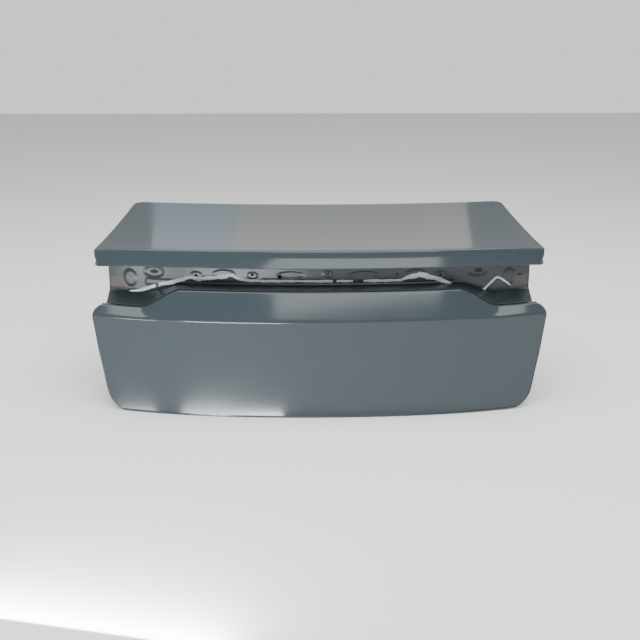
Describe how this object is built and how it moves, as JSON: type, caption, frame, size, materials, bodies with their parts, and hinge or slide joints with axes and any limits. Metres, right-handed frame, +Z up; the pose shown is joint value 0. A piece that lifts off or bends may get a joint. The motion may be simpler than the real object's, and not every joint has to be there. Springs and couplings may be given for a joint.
{
  "type": "car trunk lid",
  "caption": "Primed steel trunk lid with a ducktail lip, a full-width recess for the tail lamps and a plain rear face, for a sedan's boot opening.",
  "frame": {"origin": "centre of the four hinge screw holes, on the plane of the two hinge seats", "axes": "+Z up, +Y towards the front of the car, so the rear face looks along -Y; +X to the right of the rear view"},
  "size_m": [1.2446, 0.5145, 0.497],
  "materials": {
    "outer_skin": "semi-gloss electrocoat primer",
    "recess_sheet": "semi-gloss electrocoat primer",
    "inner_sheet": "satin electrocoat primer",
    "bracket_sheet": "satin electrocoat primer",
    "weld_nuts": "satin electrocoat primer",
    "mastic": "matte",
    "sealer": "semi-gloss"
  },
  "bodies": {
    "root": {"outer_upper": "outer_skin", "outer_lower": "outer_skin", "recess_panel": "recess_sheet", "inner_panel": "inner_sheet", "hinge_reinforcement_left": "inner_sheet", "hinge_reinforcement_right": "inner_sheet", "hinge_weld_nuts": "weld_nuts", "latch_reinforcement": "inner_sheet", "latch_weld_nuts": "weld_nuts", "lamp_weld_nuts": "weld_nuts", "corner_bracket_left": "bracket_sheet", "corner_bracket_right": "bracket_sheet", "brace_left": "inner_sheet", "brace_centre": "inner_sheet", "brace_right": "inner_sheet", "deck_mastic": "mastic", "rear_mastic": "mastic", "seam_sealer": "sealer"}
  },
  "joints": []
}
